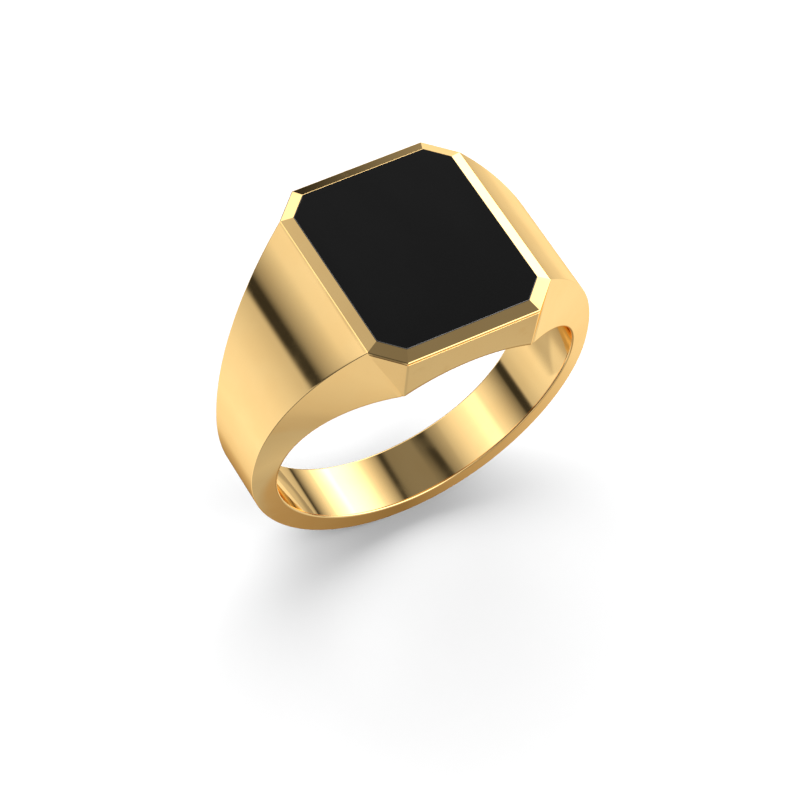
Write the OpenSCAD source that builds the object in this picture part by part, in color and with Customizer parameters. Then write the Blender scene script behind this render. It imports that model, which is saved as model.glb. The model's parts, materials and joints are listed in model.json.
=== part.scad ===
/* [Hoop] */
// Inside diameter of the hoop
bore_d = 19; // [17:0.5:20]
// Thickness of the hoop at the bottom and at the sides
hoop_t = 1.45; // [1.2:0.05:1.8]
// Width of the hoop along its inner edge, at the bottom
inner_w = 3.9; // [3:0.1:4.5]
// Width of the hoop along its outer edge, at the bottom
outer_w = 3.36; // [3:0.1:4.5]

/* [Shoulders] */
// Width of the shoulders along the bore, where they run into the head
shoulder_w = 13; // [12.5:0.1:13.1]
// Angle from the bottom at which the inner edge starts to widen
flare_start = 15; // [5:1:30]
// How late the inner edge widens, higher is later
inner_flare = 2.8; // [2.6:0.05:3.2]
// How late the outer edge widens, higher is later
outer_flare = 3.45; // [2.5:0.05:4]

/* [Head] */
// Height of the stone's face above the top of the bore
head_h = 2.7; // [2.5:0.1:3.5]
// Width of the bevel around the stone
bevel_w = 0.72; // [0.6:0.02:0.9]
// Drop of the bevel from the stone to its outer edge
bevel_drop = 0.3; // [0.15:0.05:0.4]
// Height of the upright band under the bevel
bezel_band = 0.2; // [0.15:0.05:0.3]
// Inward lean of the head's wall below that band, in degrees
wall_lean = 4; // [0:0.1:5]
// Thickness of the curved plate that closes the head over the finger
plate_t = 0.7; // [0.6:0.05:0.8]
// Width of the ledge under the stone
ledge_w = 0.9; // [0.6:0.1:1.2]

/* [Stone] */
// Size of the stone across the finger
stone_x = 10; // [9:0.5:11]
// Size of the stone along the finger
stone_y = 12; // [11:0.5:13]
// Leg of the stone's cut corners
stone_corner = 1.2; // [0.8:0.1:1.6]
// Thickness of the stone
stone_t = 1.5; // [1.2:0.1:1.6]
// Thickness of the cement between the ledge and the stone
cement_t = 0.08; // [0.05:0.01:0.12]

/* [Hidden] */
gold = "goldenrod";
round_fn = 180;

bore_r = bore_d / 2;
hoop_r = bore_r + hoop_t;
face_z = bore_r + head_h;
rim_z = face_z - bevel_drop;
seam_z = rim_z - bezel_band;

// Gap all round the stone, and how far cutting tools run past what they cut
stone_gap = 0.02;
past = 1;

// The head's outline is the stone's, moved out by the bevel with mitred corners
mitre = 2 - sqrt(2);
head_x = stone_x + 2 * bevel_w;
head_y = stone_y + 2 * bevel_w;
head_corner = stone_corner + mitre * bevel_w;
head_side = head_y / 2 - head_corner;

// Levels inside the head
stone_base_z = face_z - stone_t;
ledge_z = stone_base_z - cement_t;

// Each shoulder is an arc that leaves the hoop upright at bore height and ends at the bezel's edge
arc_inset = hoop_r - head_x / 2;
arc_r = (arc_inset * arc_inset + rim_z * rim_z) / (2 * arc_inset);
arc_x = hoop_r - arc_r;

// Angles are counted from the bottom of the hoop; the shoulders' top edge runs into the head here
shoulder_end = 180 - atan2(head_x / 2, rim_z);

// Stations of the side faces, and how far they run past the bore and the outside
side_step = 3;
side_past = 0.3;

// Distance from the axis to the hoop's outside at angle a
function outside_r(a) = a < 90
    ? hoop_r
    : arc_x * sin(a) + sqrt(arc_r * arc_r - pow(arc_x * cos(a), 2));

// Half the hoop's width at angle a, along the bore and along the outside
function inner_half(a) =
    inner_w / 2 + (shoulder_w - inner_w) / 2
    * pow(max(0, a - flare_start) / (shoulder_end - flare_start), inner_flare);
function outer_half(a) =
    outer_w / 2 + (head_side - outer_w / 2) * pow(a / shoulder_end, outer_flare);

// The side face is straight between those two edges, carried on to radius r
function side_half(a, r) =
    inner_half(a) + (outer_half(a) - inner_half(a))
    * (r - bore_r) / (outside_r(a) - bore_r);

// Point on the side face at angle t round the hoop, at radius r, on the side given by s
function side_point(t, r, s) =
    [r * sin(t), s * side_half(min(abs(t), shoulder_end), r), -r * cos(t)];

// Rectangle with its four corners cut off at 45 degrees
module octagon(x, y, c) {
    polygon([
        [x / 2, y / 2 - c],
        [x / 2 - c, y / 2],
        [c - x / 2, y / 2],
        [-x / 2, y / 2 - c],
        [-x / 2, c - y / 2],
        [c - x / 2, -y / 2],
        [x / 2 - c, -y / 2],
        [x / 2, c - y / 2]
    ]);
}

// Octagonal block between two levels, larger than the stone by grow on every side
module block(grow, z0, z1) {
    translate([0, 0, z0])
        linear_extrude(z1 - z0)
            octagon(stone_x + 2 * grow, stone_y + 2 * grow, stone_corner + mitre * grow);
}

// Eight sloping blocks, one at each side of the head's outline: they start at level z,
// lean by tilt degrees, and reach inward and down by the given lengths
module side_blocks(z, tilt, inward, down) {
    corner_distance = (head_x / 2 + head_side) / sqrt(2);
    for (side = [0 : 7]) {
        distance = side % 2 == 1 ? corner_distance : side % 4 == 0 ? head_x / 2 : head_y / 2;
        rotate([0, 0, 45 * side])
            translate([distance, 0, z])
                rotate([0, tilt, 0])
                    translate([-inward, -head_y, -down])
                        cube([inward + past, 2 * head_y, down > 0 ? down : past]);
    }
}

// Everything within the head's outline: upright above the seam, leaning inward below it
module head_block() {
    difference() {
        block(bevel_w, 0, face_z + past);
        side_blocks(seam_z, wall_lean, 0, seam_z + past);
    }
}

// Round bar along the bore's axis
module bar(r) {
    rotate([90, 0, 0])
        cylinder(h = 2 * head_y, r = r, center = true, $fn = round_fn);
}

// Hoop and shoulders seen along the axis: a circle below, two leaning arcs above
module side_outline() {
    intersection() {
        circle(hoop_r, $fn = round_fn);
        translate([0, -hoop_r])
            square(2 * hoop_r, center = true);
    }
    intersection() {
        translate([arc_x, 0])
            circle(arc_r, $fn = round_fn);
        translate([-arc_x, 0])
            circle(arc_r, $fn = round_fn);
        translate([0, rim_z / 2])
            square([2 * hoop_r, rim_z], center = true);
    }
}

// Closed band whose two flanks are the side faces; it is cut to the outline afterwards
module flanks() {
    stations = [-180 : side_step : 180 - side_step];
    count = len([for (t = stations) t]);
    inside = bore_r - side_past;
    corners = [
        for (t = stations)
            let (outside = outside_r(abs(t)) + side_past)
                each [
                    side_point(t, inside, -1),
                    side_point(t, outside, -1),
                    side_point(t, outside, 1),
                    side_point(t, inside, 1)
                ]
    ];
    quads = [
        for (i = [0 : count - 1])
            for (k = [0 : 3])
                [4 * i + k, 4 * i + (k + 1) % 4,
                 4 * ((i + 1) % count) + (k + 1) % 4, 4 * ((i + 1) % count) + k]
    ];
    triangles = [for (q = quads) each [[q[0], q[2], q[1]], [q[0], q[3], q[2]]]];
    polyhedron(corners, triangles);
}

// Hoop with both shoulders, cut out where the head sits
module shank() {
    color(gold)
        difference() {
            intersection() {
                rotate([90, 0, 0])
                    linear_extrude(2 * head_y, center = true)
                        side_outline();
                flanks();
            }
            bar(bore_r);
            head_block();
        }
}

// Octagonal wall of the head, arched over the finger
module head_wall() {
    color(gold)
        difference() {
            intersection() {
                head_block();
                block(bevel_w, 0, seam_z);
            }
            block(stone_gap, -past, seam_z + past);
            bar(bore_r);
        }
}

// Curved plate that closes the head over the finger
module back_plate() {
    color(gold)
        difference() {
            intersection() {
                block(stone_gap, 0, face_z);
                bar(bore_r + plate_t);
            }
            bar(bore_r);
        }
}

// Ledge inside the wall that carries the stone
module bearer() {
    color(gold)
        difference() {
            block(stone_gap, 0, ledge_z);
            block(-ledge_w, -past, ledge_z + past);
            bar(bore_r + plate_t);
        }
}

// Bevelled frame round the stone, with its upright band
module bezel_frame() {
    color(gold)
        difference() {
            block(bevel_w, seam_z, face_z);
            block(stone_gap, seam_z - past, face_z + past);
            side_blocks(rim_z, atan2(bevel_drop, bevel_w), 2 * bevel_w, 0);
        }
}

// Flat black stone, flush with the frame
module stone() {
    color("black")
        block(0, stone_base_z, face_z);
}

// Cement between the ledge and the stone
module stone_cement() {
    color("dimgray")
        difference() {
            block(stone_gap, ledge_z, stone_base_z);
            block(-ledge_w, ledge_z - past, stone_base_z + past);
        }
}

shank();
head_wall();
back_plate();
bearer();
bezel_frame();
stone();
stone_cement();
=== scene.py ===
"""Looks of the signet ring: polished gold pieces and a flat black stone in soft studio light.

The ring's frame: +Z up through the stone, Y along the finger, X across the ring, metres.
"""

import json
import math

import bmesh
import bpy
import numpy as np
from mathutils import Matrix, Vector


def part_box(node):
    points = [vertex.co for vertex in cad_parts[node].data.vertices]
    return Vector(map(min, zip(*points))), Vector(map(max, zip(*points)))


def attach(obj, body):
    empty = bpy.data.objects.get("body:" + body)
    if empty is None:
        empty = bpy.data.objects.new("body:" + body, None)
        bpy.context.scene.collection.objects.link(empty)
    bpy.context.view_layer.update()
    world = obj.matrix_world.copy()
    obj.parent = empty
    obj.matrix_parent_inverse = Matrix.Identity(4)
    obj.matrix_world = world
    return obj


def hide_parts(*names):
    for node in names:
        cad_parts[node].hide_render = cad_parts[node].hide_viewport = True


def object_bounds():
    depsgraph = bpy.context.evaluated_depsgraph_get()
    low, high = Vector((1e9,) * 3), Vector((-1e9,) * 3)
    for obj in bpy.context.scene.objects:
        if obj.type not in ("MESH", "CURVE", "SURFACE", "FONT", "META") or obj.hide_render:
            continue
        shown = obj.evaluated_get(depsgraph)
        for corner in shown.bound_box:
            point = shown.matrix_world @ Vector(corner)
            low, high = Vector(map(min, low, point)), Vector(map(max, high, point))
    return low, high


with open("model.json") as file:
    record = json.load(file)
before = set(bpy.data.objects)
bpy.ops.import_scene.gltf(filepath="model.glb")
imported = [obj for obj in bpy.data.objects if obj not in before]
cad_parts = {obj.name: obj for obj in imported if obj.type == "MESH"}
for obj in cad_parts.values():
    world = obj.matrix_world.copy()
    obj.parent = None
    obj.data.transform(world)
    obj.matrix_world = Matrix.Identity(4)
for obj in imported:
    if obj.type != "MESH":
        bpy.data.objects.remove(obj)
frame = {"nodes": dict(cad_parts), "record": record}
cad_low, cad_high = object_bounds()
MM = 0.001

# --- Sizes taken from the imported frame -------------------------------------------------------

STONE_LOW, STONE_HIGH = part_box("stone")
BEZEL_LOW, BEZEL_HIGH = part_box("bezel_frame")
SHANK_LOW, SHANK_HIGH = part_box("shank")
BORE_R = next(m for m in frame["record"]["mounts"] if m["name"] == "finger_bore")["dims"]["r_mm"] * MM

HALF_X = STONE_HIGH.x
HALF_Y = STONE_HIGH.y
HOOP_R = SHANK_HIGH.x
FACE_Z = STONE_HIGH.z
STONE_BASE_Z = STONE_LOW.z
SEAM_Z = BEZEL_LOW.z
BEVEL_W = BEZEL_HIGH.x - HALF_X

# --- Sizes that the frame's boxes don't give; they repeat the CAD model's --------------------

STONE_CORNER = 1.2 * MM
BEVEL_DROP = 0.3 * MM
WALL_LEAN = math.radians(4)
STONE_GAP = 0.02 * MM
INNER_W = 3.9 * MM
OUTER_W = 3.36 * MM
SHOULDER_W = 13.0 * MM
FLARE_START = math.radians(15)
INNER_FLARE = 2.8
OUTER_FLARE = 3.45

RIM_Z = FACE_Z - BEVEL_DROP
MITRE = 2 - math.sqrt(2)
HEAD_X = HALF_X + BEVEL_W
HEAD_Y = HALF_Y + BEVEL_W
HEAD_CORNER = STONE_CORNER + MITRE * BEVEL_W
HEAD_SIDE = HEAD_Y - HEAD_CORNER

ARC_INSET = HOOP_R - HEAD_X
ARC_R = (ARC_INSET**2 + RIM_Z**2) / (2 * ARC_INSET)
ARC_X = HOOP_R - ARC_R
SHOULDER_END = math.pi - math.atan2(HEAD_X, RIM_Z)

# --- Edge roundings, which the CAD model leaves out ------------------------------------------

BORE_EDGE = 0.11 * MM
OUTER_EDGE = 0.06 * MM
WALL_EDGE = 0.20 * MM
ARCH_EDGE = 0.05 * MM
CRISP = 0.008 * MM
STONE_EDGE = 0.018 * MM
SHANK_SINK = 0.01 * MM

# The bezel's outer edge is a narrow facet, at this tilt from level; the seam is a small groove
FACET_W = 0.055 * MM
FACET_TILT = math.radians(40)
SEAM_GROOVE = 0.05 * MM

# --- How finely the shank is meshed ----------------------------------------------------------

SHANK_STATIONS = 361
EDGE_ROUND_STEPS = 6
SECTION_STEPS = (14, 24, 14, 40)


# --- Mesh helpers ----------------------------------------------------------------------------


def new_piece(name, points, faces, material, smooth_angle=math.radians(30)):
    """Makes a closed mesh object, its faces turned outward, that rides the ring's one body."""
    mesh = bpy.data.meshes.new(name)
    mesh.from_pydata([tuple(p) for p in points], [], faces)
    mesh.validate()
    solid = bmesh.new()
    solid.from_mesh(mesh)
    bmesh.ops.recalc_face_normals(solid, faces=solid.faces)
    solid.to_mesh(mesh)
    solid.free()
    mesh.update()
    mesh.materials.append(material)
    obj = bpy.data.objects.new(name, mesh)
    bpy.context.scene.collection.objects.link(obj)
    mesh.shade_smooth()
    mesh.set_sharp_from_angle(angle=smooth_angle)
    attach(obj, "root")
    return obj


def ring_faces(rows, columns, close_rows):
    """Quads over a grid of points whose columns close on themselves; the rows may close too."""
    faces = []
    for i in range(rows if close_rows else rows - 1):
        j = (i + 1) % rows
        for k in range(columns):
            m = (k + 1) % columns
            faces.append((i * columns + k, j * columns + k, j * columns + m, i * columns + m))
    return faces


def fan(center, ring):
    """Triangles from one point to a closed ring of points."""
    return [(center, ring[k], ring[(k + 1) % len(ring)]) for k in range(len(ring))]


def rounded(corners, radii, arc_steps, edge_steps):
    """Outlines through corners, each corner rounded to its radius.

    corners is (n, corners, 2) for n outlines at once; the result is (n, points, 2), with
    arc_steps steps round each corner and edge_steps[i] steps from corner i to the next; those
    steps are closer together near the corners.
    """
    radii = np.asarray(radii, float)[None, :, None]
    to_last = np.roll(corners, 1, axis=1) - corners
    to_next = np.roll(corners, -1, axis=1) - corners
    to_last /= np.linalg.norm(to_last, axis=2, keepdims=True)
    to_next /= np.linalg.norm(to_next, axis=2, keepdims=True)
    half = np.arccos(np.clip((to_last * to_next).sum(axis=2, keepdims=True), -1, 1)) / 2
    inward = to_last + to_next
    inward /= np.linalg.norm(inward, axis=2, keepdims=True)
    centres = corners + inward * radii / np.sin(half)
    first_arms = corners + to_last * radii / np.tan(half) - centres
    last_arms = corners + to_next * radii / np.tan(half) - centres
    turn = math.pi - 2 * half
    outline = []
    for i in range(corners.shape[1]):
        for f in np.linspace(0, 1, arc_steps + 1):
            first_share = np.sin((1 - f) * turn[:, i])
            last_share = np.sin(f * turn[:, i])
            arm = first_arms[:, i] * first_share + last_arms[:, i] * last_share
            outline.append(centres[:, i] + arm / np.sin(turn[:, i]))
        following = (i + 1) % corners.shape[1]
        stop = centres[:, following] + first_arms[:, following]
        start = centres[:, i] + last_arms[:, i]
        for f in np.linspace(0, math.pi, edge_steps[i] + 1)[1:-1]:
            outline.append(start + (stop - start) * (1 - math.cos(f)) / 2)
    return np.stack(outline, axis=1)


# --- The head's octagon ----------------------------------------------------------------------

EDGE_STEPS = (4, 24, 4, 28, 4, 24, 4, 28)
# Rounds in which a leaning wall's place and the height it reaches down to settle together
LEAN_ROUNDS = 5


def octagon(grow, radius):
    """The head's octagon, grown from the stone's outline, as an array of x, y points."""
    x, y = HALF_X + grow, HALF_Y + grow
    c = STONE_CORNER + MITRE * grow
    corners = [
        (x, y - c),
        (x - c, y),
        (c - x, y),
        (-x, y - c),
        (-x, c - y),
        (c - x, -y),
        (x - c, -y),
        (x, c - y),
    ]
    return rounded(np.array([corners]), [radius] * 8, 5, EDGE_STEPS)[0]


def bore_top(x, radius=BORE_R):
    """Height of the bore's upper half, or of a cylinder around it, at x."""
    return np.sqrt(np.maximum(radius**2 - x**2, 0))


def lean_in(z):
    """How far the head's leaning wall has moved in at height z."""
    return np.maximum(SEAM_Z - z, 0) * math.tan(WALL_LEAN)


def octagon_ring(name, rows, material, smooth_angle=math.radians(30)):
    """Closed ring from rows of (grow, corner radius, height); a height may be a function of x.

    Rows outside the middle of the bevel lean in with the head's wall.
    """
    points = []
    columns = 0
    for grow, radius, height in rows:
        upright = octagon(grow, radius)
        columns = len(upright)
        outward = (upright - octagon(grow - MM, radius)) / MM
        leaned = upright
        for _ in range(LEAN_ROUNDS):
            z = np.array([height(x) if callable(height) else height for x in leaned[:, 0]])
            if grow > BEVEL_W / 2:
                leaned = upright - outward * lean_in(z)[:, None]
        points += [(x, y, level) for (x, y), level in zip(leaned, z)]
    return new_piece(name, points, ring_faces(len(rows), columns, True), material, smooth_angle)


class Graph:
    """Short forms for the nodes that a light or a material is worked out with."""

    def __init__(self, tree):
        self.nodes = tree.nodes
        self.links = tree.links

    def put(self, socket, value):
        if isinstance(value, bpy.types.NodeSocket):
            self.links.new(value, socket)
        else:
            socket.default_value = value

    def math(self, operation, a, b=0.0):
        node = self.nodes.new("ShaderNodeMath")
        node.operation = operation
        self.put(node.inputs[0], a)
        self.put(node.inputs[1], b)
        return node.outputs[0]

    def smooth(self, value, start, stop, low=0.0, high=1.0, kind="SMOOTHSTEP"):
        node = self.nodes.new("ShaderNodeMapRange")
        node.interpolation_type = kind
        for name, number in zip(("Value", "From Min", "From Max", "To Min", "To Max"),
                                (value, start, stop, low, high)):
            self.put(node.inputs[name], number)
        return node.outputs[0]

    def ramp(self, value, stops, scale=1.0):
        """Value at the given places, straight between them; brightness is held as a share of scale."""
        first, last = stops[0][0], stops[-1][0]
        node = self.nodes.new("ShaderNodeValToRGB")
        elements = node.color_ramp.elements
        elements.remove(elements[1])
        for i, (place, level) in enumerate(stops):
            position = (place - first) / (last - first)
            element = elements[0] if i == 0 else elements.new(position)
            element.position = position
            element.color = (level / scale, level / scale, level / scale, 1)
        self.links.new(self.smooth(value, first, last, kind="LINEAR"), node.inputs[0])
        return node.outputs[0]

    def within(self, value, low, high, inside):
        """Inside between two soft limits, each given as a start and a stop, and 1 beyond them."""
        inside = self.mix(self.smooth(value, *high), inside, 1.0)
        return self.mix(self.smooth(value, *low), 1.0, inside)

    def mix(self, factor, a, b):
        node = self.nodes.new("ShaderNodeMix")
        node.data_type = "FLOAT"
        self.put(node.inputs[0], factor)
        self.put(node.inputs[2], a)
        self.put(node.inputs[3], b)
        return node.outputs[0]


# --- Materials -------------------------------------------------------------------------------

GOLD_DEEP = (0.965, 0.650, 0.268, 1)
GOLD_LIGHT = (0.975, 0.668, 0.282, 1)
GOLD_ROUGHNESS = (0.05, 0.09)
POLISH_WAVE = 0.0012 * MM
HAIRLINE_STRETCH = (1.0, 0.08, 1.0)
HAIRLINE_DEPTH = 0.0002 * MM
HAIRLINE_ROUGHNESS = 0.05
ONYX_DEPTH = (0.0056, 0.0064)
ONYX_ROUGHNESS = (0.11, 0.13)


def node_material(name):
    material = bpy.data.materials.new(name)
    material.use_nodes = True
    nodes = material.node_tree.nodes
    nodes.clear()
    output = nodes.new("ShaderNodeOutputMaterial")
    shader = nodes.new("ShaderNodeBsdfPrincipled")
    material.node_tree.links.new(shader.outputs["BSDF"], output.inputs["Surface"])
    return material, nodes, material.node_tree.links, shader


def noise(g, place, scale, detail=2.0, stretch=None, offset=0.0):
    """Grain of a given number of lumps per metre, over the piece's own coordinates."""
    mapping = g.nodes.new("ShaderNodeMapping")
    g.links.new(place, mapping.inputs["Vector"])
    mapping.inputs["Location"].default_value = (offset, offset, offset)
    mapping.inputs["Scale"].default_value = stretch or (1.0, 1.0, 1.0)
    node = g.nodes.new("ShaderNodeTexNoise")
    node.inputs["Scale"].default_value = scale
    node.inputs["Detail"].default_value = detail
    g.links.new(mapping.outputs[0], node.inputs["Vector"])
    return node.outputs["Fac"]


def bump(g, height, distance, strength=1.0, onto=None):
    node = g.nodes.new("ShaderNodeBump")
    node.inputs["Distance"].default_value = distance
    node.inputs["Strength"].default_value = strength
    g.links.new(height, node.inputs["Height"])
    if onto is not None:
        g.links.new(onto, node.inputs["Normal"])
    return node.outputs[0]


def gold(name, seed):
    """Polished yellow gold: faint polishing waves, hairline wear and slightly clouded patches."""
    material = bpy.data.materials.new(name)
    material.use_nodes = True
    g = Graph(material.node_tree)
    g.nodes.clear()
    output = g.nodes.new("ShaderNodeOutputMaterial")
    shader = g.nodes.new("ShaderNodeBsdfAnisotropic")
    g.links.new(shader.outputs["BSDF"], output.inputs["Surface"])
    shader.distribution = "MULTI_GGX"
    place = g.nodes.new("ShaderNodeTexCoord").outputs["Object"]
    clouds = noise(g, place, 420.0, 3.0, offset=0.1 * seed)
    waves = noise(g, place, 260.0, 1.0, offset=0.07 * seed)
    hairlines = g.smooth(noise(g, place, 900.0, 4.0, HAIRLINE_STRETCH, 0.03 * seed), 0.62, 0.72)
    tint = g.nodes.new("ShaderNodeMix")
    tint.data_type = "RGBA"
    g.links.new(g.smooth(clouds, 0.35, 0.65), tint.inputs[0])
    tint.inputs[6].default_value = GOLD_DEEP
    tint.inputs[7].default_value = GOLD_LIGHT
    g.links.new(tint.outputs[2], shader.inputs["Color"])
    clouded = g.smooth(clouds, 0.40, 0.75, *GOLD_ROUGHNESS)
    worn = g.math("ADD", clouded, g.math("MULTIPLY", hairlines, HAIRLINE_ROUGHNESS))
    g.links.new(worn, shader.inputs["Roughness"])
    ripple = bump(g, waves, POLISH_WAVE)
    scratched = bump(g, hairlines, -HAIRLINE_DEPTH, onto=ripple)
    g.links.new(scratched, shader.inputs["Normal"])
    return material


def onyx():
    """Black stone with a satin polish, faint banding and faint smears."""
    material, nodes, links, shader = node_material("black_onyx")
    g = Graph(material.node_tree)
    place = g.nodes.new("ShaderNodeTexCoord").outputs["Object"]
    bands = noise(g, place, 300.0, 3.0, (1.0, 0.3, 2.0))
    depth = g.smooth(bands, 0.35, 0.7, *ONYX_DEPTH)
    grey = g.nodes.new("ShaderNodeCombineColor")
    for socket in grey.inputs:
        g.links.new(depth, socket)
    g.links.new(grey.outputs[0], shader.inputs["Base Color"])
    smears = noise(g, place, 700.0, 4.0)
    g.links.new(g.smooth(smears, 0.35, 0.75, *ONYX_ROUGHNESS), shader.inputs["Roughness"])
    shader.inputs["Specular IOR Level"].default_value = 0.09
    g.links.new(bump(g, smears, 0.0004 * MM), shader.inputs["Normal"])
    return material


def onyx_edge():
    """The stone's narrow ground edge, which looks grey where it scatters the light."""
    material, nodes, links, shader = node_material("onyx_ground_edge")
    g = Graph(material.node_tree)
    place = g.nodes.new("ShaderNodeTexCoord").outputs["Object"]
    shader.inputs["Base Color"].default_value = (0.17, 0.165, 0.16, 1)
    g.links.new(g.smooth(noise(g, place, 3000.0), 0.3, 0.7, 0.25, 0.45), shader.inputs["Roughness"])
    return material


def cement():
    material, nodes, links, shader = node_material("setting_cement")
    g = Graph(material.node_tree)
    place = g.nodes.new("ShaderNodeTexCoord").outputs["Object"]
    grain = noise(g, place, 4000.0, 4.0)
    shader.inputs["Base Color"].default_value = (0.1, 0.1, 0.1, 1)
    g.links.new(g.smooth(grain, 0.3, 0.7, 0.55, 0.85), shader.inputs["Roughness"])
    g.links.new(bump(g, grain, 0.01 * MM), shader.inputs["Normal"])
    return material


GOLD_SHANK = gold("gold_shank", 1)
GOLD_HEAD = gold("gold_head", 2)
GOLD_BEZEL = gold("gold_bezel", 3)
ONYX = onyx()
ONYX_EDGE = onyx_edge()
CEMENT = cement()

# --- Shank -----------------------------------------------------------------------------------


def outside_r(a):
    leaning = ARC_X * np.sin(a) + np.sqrt(ARC_R**2 - (ARC_X * np.cos(a)) ** 2)
    return np.where(a < math.pi / 2, HOOP_R, leaning)


def inner_half(a):
    rise = np.maximum(0, a - FLARE_START) / (SHOULDER_END - FLARE_START)
    return INNER_W / 2 + (SHOULDER_W - INNER_W) / 2 * rise**INNER_FLARE


def outer_half(a):
    return OUTER_W / 2 + (HEAD_SIDE - OUTER_W / 2) * (a / SHOULDER_END) ** OUTER_FLARE


def shank_points(angles):
    """The hoop's section at each angle from the bottom, as (angles, points, 3)."""
    a = np.minimum(np.abs(angles), SHOULDER_END)
    inside, outside = np.full_like(a, BORE_R), outside_r(a)
    inner, outer = inner_half(a), outer_half(a)
    corners = np.stack(
        [
            np.stack([inside, -inner], axis=1),
            np.stack([outside, -outer], axis=1),
            np.stack([outside, outer], axis=1),
            np.stack([inside, inner], axis=1),
        ],
        axis=1,
    )
    radii = (BORE_EDGE, OUTER_EDGE, OUTER_EDGE, BORE_EDGE)
    outline = rounded(corners, radii, EDGE_ROUND_STEPS, SECTION_STEPS)
    r, y = outline[..., 0], outline[..., 1]
    angles = angles[:, None]
    return np.stack([r * np.sin(angles), y, -r * np.cos(angles)], axis=2)


def depth_in_head(points):
    """How far each point lies inside the head's outline, negative outside it."""
    x, y = np.abs(points[..., 0]), np.abs(points[..., 1])
    across = (HEAD_X + HEAD_SIDE - x - y) / math.sqrt(2)
    return np.minimum(np.minimum(HEAD_X - x, HEAD_Y - y), across) - lean_in(points[..., 2])


def shank_end_angles():
    """The angle at which each point of the section runs into the head."""
    columns = shank_points(np.zeros(1)).shape[1]
    own = np.arange(columns)
    low = np.full(columns, math.radians(120))
    high = np.full(columns, math.radians(175))
    for _ in range(30):
        middle = (low + high) / 2
        sunk = depth_in_head(shank_points(middle)[own, own]) > SHANK_SINK
        high = np.where(sunk, middle, high)
        low = np.where(sunk, low, middle)
    return high


def end_faces(ring, first):
    """Faces that close an end of the shank flat against the head: one side wall, two corner walls."""
    columns = len(ring)
    starts = np.cumsum([0] + [EDGE_ROUND_STEPS + steps for steps in SECTION_STEPS])
    outer_low, outer_high = (int(starts[i]) + EDGE_ROUND_STEPS // 2 for i in (1, 2))
    x, y = np.abs(ring[:, 0]), np.abs(ring[:, 1])
    off_crease = np.abs(HEAD_X - x - (HEAD_X + HEAD_SIDE - x - y) / math.sqrt(2))
    middle = columns - SECTION_STEPS[3] // 2
    bore_high = int(starts[3]) + int(np.argmin(off_crease[starts[3] : middle]))
    bore_low = middle + int(np.argmin(off_crease[middle:]))
    loops = (
        [*range(bore_low, columns), *range(outer_low + 1)],
        [*range(outer_low, outer_high + 1), *range(bore_high, bore_low + 1)],
        [*range(outer_high, bore_high + 1)],
    )
    return [tuple(first + k for k in loop) for loop in loops]


def make_shank():
    ends = shank_end_angles()
    columns = len(ends)
    rows = []
    for f in np.linspace(-1, 1, SHANK_STATIONS):
        own = np.arange(columns)
        rows.append(shank_points(f * ends)[own, own])
    points = list(np.concatenate(rows))
    faces = ring_faces(SHANK_STATIONS, columns, False)
    faces += end_faces(rows[0], 0) + end_faces(rows[-1], (SHANK_STATIONS - 1) * columns)
    shank = new_piece("shank_gold", points, faces, GOLD_SHANK)
    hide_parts("shank")
    return shank


# --- Head ------------------------------------------------------------------------------------


def make_head_wall():
    rows = [(STONE_GAP, CRISP, SEAM_Z), (BEVEL_W - CRISP, WALL_EDGE, SEAM_Z)]
    rows.append((BEVEL_W, WALL_EDGE, SEAM_Z - CRISP))
    top = SEAM_Z - CRISP
    steps = 10
    for k in range(1, steps + 1):
        def height(x, f=k / steps):
            return top + (bore_top(x) + ARCH_EDGE - top) * f
        rows.append((BEVEL_W, WALL_EDGE, height))
    for k in range(1, 7):
        a = math.radians(90 * k / 6)
        def height(x, lift=ARCH_EDGE * (1 - math.sin(a))):
            return bore_top(x) + lift
        rows.append((BEVEL_W - ARCH_EDGE * (1 - math.cos(a)), WALL_EDGE, height))
    rows.append((STONE_GAP, CRISP, bore_top))
    wall = octagon_ring("head_wall_gold", rows, GOLD_HEAD)
    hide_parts("head_wall")
    return wall


def make_bezel_frame():
    slope = (FACE_Z - RIM_Z) / BEVEL_W
    facet = FACET_W * math.cos(FACET_TILT)
    facet_top = RIM_Z + slope * facet
    facet_foot = facet_top - FACET_W * math.sin(FACET_TILT)
    inner = STONE_GAP + CRISP
    edge_z = FACE_Z - slope * inner
    rows = [(STONE_GAP, CRISP, SEAM_Z), (BEVEL_W - SEAM_GROOVE, WALL_EDGE, SEAM_Z)]
    rows.append((BEVEL_W, WALL_EDGE, SEAM_Z + SEAM_GROOVE))
    steps = 4
    rows += [
        (BEVEL_W, WALL_EDGE * (1 - k / steps) + CRISP, SEAM_Z + SEAM_GROOVE
         + (facet_foot - SEAM_Z - SEAM_GROOVE) * k / steps)
        for k in range(1, steps + 1)
    ]
    rows.append((BEVEL_W - facet, CRISP, facet_top))
    steps = 6
    for k in range(1, steps + 1):
        f = k / steps
        grow = BEVEL_W - facet
        rows.append((grow + (inner - grow) * f, CRISP, facet_top + (edge_z - facet_top) * f))
    rows.append((STONE_GAP, CRISP, edge_z - CRISP))
    bezel = octagon_ring("bezel_frame_gold", rows, GOLD_BEZEL, math.radians(12))
    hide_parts("bezel_frame")
    return bezel


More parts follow.
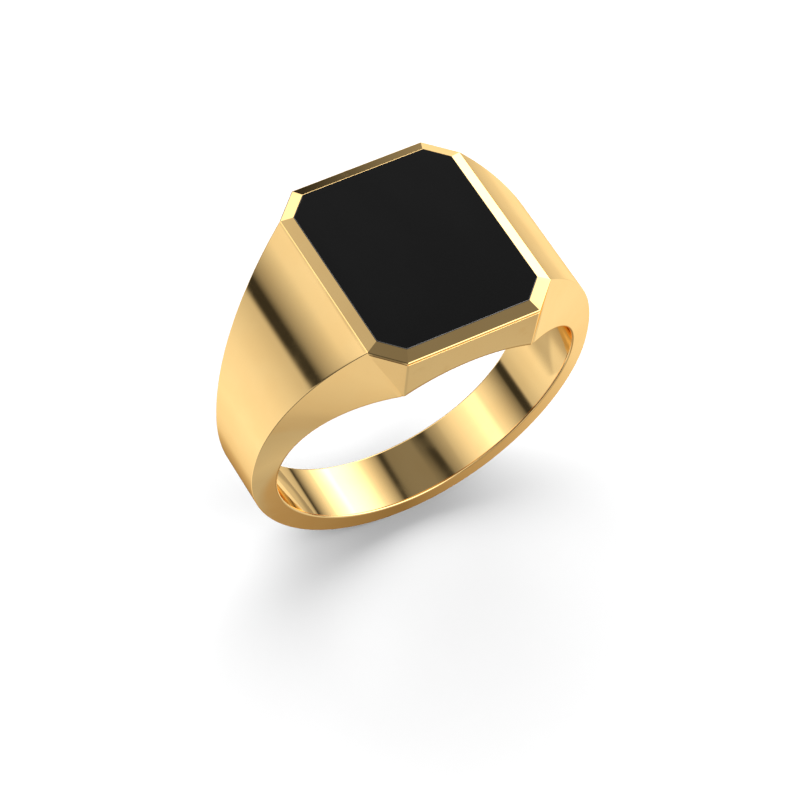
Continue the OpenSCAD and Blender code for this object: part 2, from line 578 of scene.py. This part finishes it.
def make_stone():
    rows = [(0.0, CRISP, STONE_BASE_Z), (0.0, CRISP, FACE_Z - STONE_EDGE)]
    rows.append((-STONE_EDGE, CRISP, FACE_Z))
    points = []
    columns = 0
    for grow, radius, z in rows:
        outline = octagon(grow, radius)
        columns = len(outline)
        points += [(x, y, z) for x, y in outline]
    faces = ring_faces(len(rows), columns, False)
    base = [k for k in range(columns)]
    top = [(len(rows) - 1) * columns + k for k in range(columns)]
    points += [(0, 0, STONE_BASE_Z), (0, 0, FACE_Z)]
    faces += fan(len(points) - 2, base[::-1]) + fan(len(points) - 1, top)
    stone = new_piece("stone_onyx", points, faces, ONYX)
    stone.data.materials.append(ONYX_EDGE)
    for face in stone.data.polygons:
        on_edge = abs(face.normal.z) > 0.1 and abs(face.normal.z) < 0.9
        face.material_index = 1 if on_edge else 0
    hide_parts("stone")
    return stone


shank = make_shank()
head_wall = make_head_wall()
bezel_frame = make_bezel_frame()
stone = make_stone()

for name, material in (("back_plate", GOLD_HEAD), ("bearer", GOLD_HEAD), ("stone_cement", CEMENT)):
    node = frame["nodes"][name]
    node.data.materials.clear()
    node.data.materials.append(material)

# --- Floor, light and camera -----------------------------------------------------------------

FLOOR_HALF = 2.0
FLOOR_Z = cad_low.z


def make_floor():
    mesh = bpy.data.meshes.new("floor")
    corners = ((-1, -1), (1, -1), (1, 1), (-1, 1))
    mesh.from_pydata([(x * FLOOR_HALF, y * FLOOR_HALF, FLOOR_Z) for x, y in corners], [], [(0, 1, 2, 3)])
    floor = bpy.data.objects.new("floor", mesh)
    bpy.context.scene.collection.objects.link(floor)
    material, nodes, links, shader = node_material("pale_floor")
    shader.inputs["Base Color"].default_value = (0.865, 0.865, 0.865, 1)
    shader.inputs["Roughness"].default_value = 1.0
    shader.inputs["Specular IOR Level"].default_value = 0.0
    mesh.materials.append(material)
    floor.visible_glossy = False


make_floor()

# Brightness all round the ring, by height above the horizon in degrees: first on its left, then
# on its right. Each side has a soft box above the floor, a black gap over that box, and a dim
# ceiling; below the horizon lies the reflected floor, past another gap.
PEAK = 4.0
LEFT_STUDIO = (
    (-40, 1.16), (-22, 1.00), (-12, 0.82), (-6, 0.69), (-4.3, 0.67), (-3.4, 0.50), (-2.2, 0.10),
    (-1.5, 0.04), (1.8, 0.04), (3.5, 0.20), (5, 0.33), (12, 0.72), (15.5, 0.95), (22.5, 1.00),
    (23.3, 0.50), (24.3, 1.72), (33, 1.70), (37, 1.38), (47, 0.90), (50, 0.67), (52, 0.56),
    (57, 0.28),
    (58, 0.04), (59.3, 0.04), (61, 0.24), (90, 0.20),
)
# The same side, as far round as only the bore sees it
FAR_LEFT_STUDIO = (
    (-40, 1.16), (-22, 1.00), (-12, 0.86), (-6, 0.71), (-2.2, 0.65), (-0.3, 0.10), (1.0, 0.04),
    (4.4, 0.04), (5.6, 0.17), (10, 0.40), (16, 0.73), (19.5, 0.92), (22, 1.05), (24, 1.14),
    (26.5, 1.60), (28, 1.72), (33, 1.70), (37, 1.38), (47, 0.95), (51, 0.71), (57, 0.30),
    (58, 0.04), (59.3, 0.04), (61, 0.24), (90, 0.20),
)
RIGHT_STUDIO = (
    (-45, 1.08), (-24, 0.88), (-16, 0.72), (-12, 0.62), (-10.5, 0.30), (-9.8, 0.06),
    (-8.8, 0.06), (-6, 0.31), (3, 1.00), (6, 1.25), (7.5, 1.65), (10.5, 1.87), (16, 2.50),
    (19, 3.10), (22, 3.16), (27, 2.92), (35, 2.30), (40, 1.74), (43.5, 1.15), (51, 0.42),
    (53.2, 0.05), (54.3, 0.05), (56, 0.23), (60, 0.25), (90, 0.20),
)
# How the ring darkens its own floor, by distance across from the point straight below it
UNDER_RING = (
    (-0.85, 1.00), (-0.50, 0.92), (-0.30, 0.80), (-0.15, 0.58), (0.0, 0.46), (0.20, 0.36),
    (0.33, 0.24), (0.45, 0.50), (0.60, 0.85), (0.85, 1.00),
)
# Colour that the ring throws on the floor there
UNDER_TINT = (1.0, 0.70, 0.34, 1)

# The two sides meet in a plane that leans by this share a degree, level at this height
RIGHT_CENTRE = math.radians(100)
SIDES_LEVEL = 36.0
SIDES_LEAN = 0.0107
SIDES_BLEND = 0.06
# Where the left side turns into the far left one, in degrees of turn from the back: from one turn
# to another between two heights, and further round again higher up
LEFT_BORDER_LOW = (6.0, 26.0, -59.5, -55.5)
LEFT_BORDER_HIGH = (38.0, 44.0, -36.5)
LEFT_BORDER_BLEND = 0.4
# How much brighter the right soft box is in its lower left part
HOT_PATCH = 1.22
HOT_TURN = (58.2, 59.5)
HOT_FROM = (9.0, 12.0)
HOT_TO = (20.0, 23.0)

# The least that is left of the floor close in front of the ring, which the head's wall reflects
NEAR_SHADE = (0.47, 0.55)
NEAR_ACROSS = (0.34, 0.40)
NEAR_HEIGHT = (-58.5, -55.0)
NEAR_FORWARD = (-0.34, -0.27)
# Brightest that the floor in front of the ring gets, by height below the horizon; closer in, it
# goes from the first to the second of these from the front towards the side
FRONT_FLOOR = ((-54.5, 0.56), (-52.3, 0.66), (-46, 0.77), (-42, 0.84))
FRONT_BLEND = (-0.25, 0.05)
CLOSE_FLOOR = (0.53, 0.74)
CLOSE_FORWARD = (-0.50, -0.25)
CLOSE_HEIGHT = (-58.0, -54.5)
# What is left of the soft boxes on the near side of the ring, on the left and on the right
FRONT_WALL = (0.8, 1.3)
FRONT_WALL_ACROSS = (-0.1, 0.2)
FRONT_WALL_FORWARD = (-0.45, -0.10)
CEILING = (50.0, 60.0)
# A narrow black flag low down behind the ring, and a dark screen beside the camera that only the
# ring's rounded near edges show: turn, soft edge off the centre, foot, top, brightness
FLAG = (13.0, (5.3, 10.0), (-6.0, -3.0), (14.0, 20.0), 0.03)
SCREEN = (-122.0, (18.0, 26.0), (-56.0, -51.0), (52.0, 58.0), 0.12)


def side_light(g, x, y, height, turn):
    """Light of the two sides, as a share of PEAK."""
    across = g.math("SQRT", g.math("ADD", g.math("MULTIPLY", x, x), g.math("MULTIPLY", y, y)))
    toward_right = g.math(
        "ADD",
        g.math("MULTIPLY", x, math.sin(RIGHT_CENTRE)),
        g.math("MULTIPLY", y, math.cos(RIGHT_CENTRE)),
    )
    toward_right = g.math("DIVIDE", toward_right, g.math("MAXIMUM", across, 0.001))
    lean = g.math("MULTIPLY", g.math("SUBTRACT", height, SIDES_LEVEL), SIDES_LEAN)
    side = g.smooth(g.math("ADD", toward_right, lean), -SIDES_BLEND, SIDES_BLEND)
    border = g.smooth(height, *LEFT_BORDER_LOW, kind="LINEAR")
    border = g.smooth(height, *LEFT_BORDER_HIGH[:2], border, LEFT_BORDER_HIGH[2])
    past_border = g.math("SUBTRACT", turn, border)
    round_left = g.smooth(past_border, -LEFT_BORDER_BLEND, LEFT_BORDER_BLEND)
    left = g.mix(round_left, g.ramp(height, FAR_LEFT_STUDIO, PEAK), g.ramp(height, LEFT_STUDIO, PEAK))
    hot = g.smooth(turn, *HOT_TURN, HOT_PATCH, 1.0)
    hot = g.within(height, HOT_FROM, HOT_TO, hot)
    right = g.math("MULTIPLY", g.ramp(height, RIGHT_STUDIO, PEAK), hot)
    return g.mix(side, left, right)


def under_ring(g, x, y, z, height):
    """How much of the floor's light is left under the ring, and how little it is coloured."""
    below = g.math("DIVIDE", x, g.math("MAXIMUM", g.math("MULTIPLY", z, -1.0), 0.001))
    in_front = g.smooth(height, *NEAR_HEIGHT, 1.0, 0.0)
    in_front = g.math("MULTIPLY", in_front, g.smooth(y, *NEAR_FORWARD, 1.0, 0.0))
    near = g.math("MULTIPLY", g.smooth(below, *NEAR_ACROSS, *NEAR_SHADE), in_front)
    under = g.ramp(below, UNDER_RING)
    above = g.math("GREATER_THAN", z, 0.0)
    shade = g.mix(above, g.math("MAXIMUM", under, near), 1.0)
    plain = g.mix(above, g.math("MAXIMUM", under, in_front), 1.0)
    return shade, plain


def front_limit(g, y, z, height):
    """The most that the near side of the floor gives."""
    close = g.smooth(y, *CLOSE_FORWARD, *CLOSE_FLOOR)
    floor_light = g.mix(g.smooth(height, *CLOSE_HEIGHT), close, g.ramp(height, FRONT_FLOOR))
    return g.smooth(g.math("MAXIMUM", y, z), *FRONT_BLEND, floor_light, PEAK)


def upright_screen(g, height, turn, centre, edge, low, high, level):
    """Factor for a dark upright screen: its turn, soft edge, foot, top and brightness."""
    off_centre = g.math("ABSOLUTE", g.math("SUBTRACT", turn, centre))
    return g.within(height, low, high, g.smooth(off_centre, *edge, level, 1.0))


def front_wall(g, x, y, height):
    """Factor for the boxes on the near side, between the horizon and the ceiling."""
    level = g.smooth(x, *FRONT_WALL_ACROSS, *FRONT_WALL)
    level = g.smooth(y, *FRONT_WALL_FORWARD, level, 1.0)
    overhead = g.smooth(height, *CEILING)
    lower = g.smooth(height, -1.0, 0.0, 1.0, 0.0)
    return g.mix(g.math("MAXIMUM", overhead, lower), level, 1.0)


def make_studio():
    world = bpy.data.worlds.new("studio")
    bpy.context.scene.world = world
    world.use_nodes = True
    g = Graph(world.node_tree)
    coordinates = g.nodes.new("ShaderNodeTexCoord")
    split = g.nodes.new("ShaderNodeSeparateXYZ")
    g.links.new(coordinates.outputs["Generated"], split.inputs[0])
    x, y, z = split.outputs
    height = g.math("DEGREES", g.math("ARCSINE", z))
    turn = g.math("DEGREES", g.math("ARCTAN2", x, y))
    shade, plain = under_ring(g, x, y, z, height)
    light = g.math("MULTIPLY", side_light(g, x, y, height, turn), shade)
    light = g.math("MULTIPLY", light, PEAK)
    light = g.math("MINIMUM", light, front_limit(g, y, z, height))
    light = g.math("MULTIPLY", light, upright_screen(g, height, turn, *FLAG))
    light = g.math("MULTIPLY", light, front_wall(g, x, y, height))
    light = g.math("MULTIPLY", light, upright_screen(g, height, turn, *SCREEN))
    tint = g.nodes.new("ShaderNodeMix")
    tint.data_type = "RGBA"
    g.links.new(plain, tint.inputs[0])
    tint.inputs[6].default_value = UNDER_TINT
    tint.inputs[7].default_value = (1, 1, 1, 1)
    background = g.nodes["Background"]
    g.links.new(light, background.inputs["Strength"])
    g.links.new(tint.outputs[2], background.inputs["Color"])


make_studio()

# Painted shadow: the ring's own dimness on the floor behind it, as the polish of the bore shows it,
# and what it is on the part nearer the ring
PAINTED_SHADOW_LEVEL = 0.53
UNDER_NEAR = 0.78
UNDER_NEAR_FADE = (2.0 * MM, 4.5 * MM)
UNDER_DEPTH = (5.8 * MM, 6.6 * MM)
UNDER_FADE = (-6.5 * MM, -1.0 * MM)
UNDER_CORNERS = ((-1.5, 5.5), (7.5, 1.0), (7.5, 6.2), (-6.5, 10.5), (-6.5, 8.0))


def make_painted_floor_shadow():
    """Sheet on the floor that only dims what the polish reflects there: a painted shadow of the ring."""
    mesh = bpy.data.meshes.new("painted_floor_shadow")
    corners = [(x * MM, y * MM, FLOOR_Z) for x, y in UNDER_CORNERS]
    mesh.from_pydata(corners, [], [range(len(corners))])
    card = bpy.data.objects.new("painted_floor_shadow", mesh)
    bpy.context.scene.collection.objects.link(card)
    material = bpy.data.materials.new("painted_floor_shadow")
    material.use_nodes = True
    g = Graph(material.node_tree)
    g.nodes.clear()
    output = g.nodes.new("ShaderNodeOutputMaterial")
    see_through = g.nodes.new("ShaderNodeBsdfTransparent")
    g.links.new(see_through.outputs[0], output.inputs["Surface"])
    coordinates = g.nodes.new("ShaderNodeTexCoord")
    split = g.nodes.new("ShaderNodeSeparateXYZ")
    g.links.new(coordinates.outputs["Object"], split.inputs[0])
    x, y, z = split.outputs
    near = g.smooth(x, *UNDER_NEAR_FADE, UNDER_NEAR, PAINTED_SHADOW_LEVEL)
    level = g.smooth(y, *UNDER_DEPTH, near, PAINTED_SHADOW_LEVEL)
    # Painted shadow: the share of reflected light the sheet lets through, undimmed towards the left
    g.put(see_through.inputs["Color"], g.smooth(x, *UNDER_FADE, 1.0, level))
    mesh.materials.append(material)
    card.visible_camera = False
    card.visible_diffuse = False
    card.visible_shadow = False
    card.visible_transmission = False


# Painted shadow of the ring on the floor, seen only in the polish
make_painted_floor_shadow()

# Soft boxes that light the floor: turn from the back towards the right, height, watts
LAMPS = {
    "lamp_right": (25, 42, 0.75),
    "lamp_left": (-30, 42, 0.50),
}
LAMP_DISTANCE = 400 * MM
LAMP_SIZE = 400 * MM

for name, (turn, height, watts) in LAMPS.items():
    data = bpy.data.lights.new(name, "AREA")
    data.shape = "DISK"
    data.size = LAMP_SIZE
    data.energy = watts
    lamp = bpy.data.objects.new(name, data)
    bpy.context.scene.collection.objects.link(lamp)
    turn, height = math.radians(turn), math.radians(height)
    toward = Vector(
        (math.sin(turn) * math.cos(height), math.cos(turn) * math.cos(height), math.sin(height))
    )
    aim = toward.to_track_quat("Z", "Y").to_matrix().to_4x4()
    lamp.matrix_world = Matrix.Translation(toward * LAMP_DISTANCE) @ aim
    lamp.visible_glossy = False

CAMERA_AIM = Vector((-0.56, -0.74, -0.69)) * MM
CAMERA_DISTANCE = 202.56 * MM
CAMERA_AZIMUTH = math.radians(-32.83)
CAMERA_ELEVATION = math.radians(53.25)
CAMERA_ROLL = math.radians(5.11)
CAMERA_LENS = 157.96

camera_data = bpy.data.cameras.new("camera")
camera_data.lens = CAMERA_LENS
camera_data.sensor_width = 36.0
camera_data.clip_start = 0.01
camera = bpy.data.objects.new("camera", camera_data)
bpy.context.scene.collection.objects.link(camera)
back = Vector(
    (
        math.sin(CAMERA_AZIMUTH) * math.cos(CAMERA_ELEVATION),
        -math.cos(CAMERA_AZIMUTH) * math.cos(CAMERA_ELEVATION),
        math.sin(CAMERA_ELEVATION),
    )
)
look = (-back).to_track_quat("-Z", "Y").to_matrix().to_4x4()
camera.matrix_world = (
    Matrix.Translation(CAMERA_AIM + back * CAMERA_DISTANCE)
    @ look
    @ Matrix.Rotation(CAMERA_ROLL, 4, "Z")
)
bpy.context.scene.camera = camera
bpy.context.scene.view_settings.view_transform = "Standard"
bpy.context.scene.cycles.caustics_reflective = False
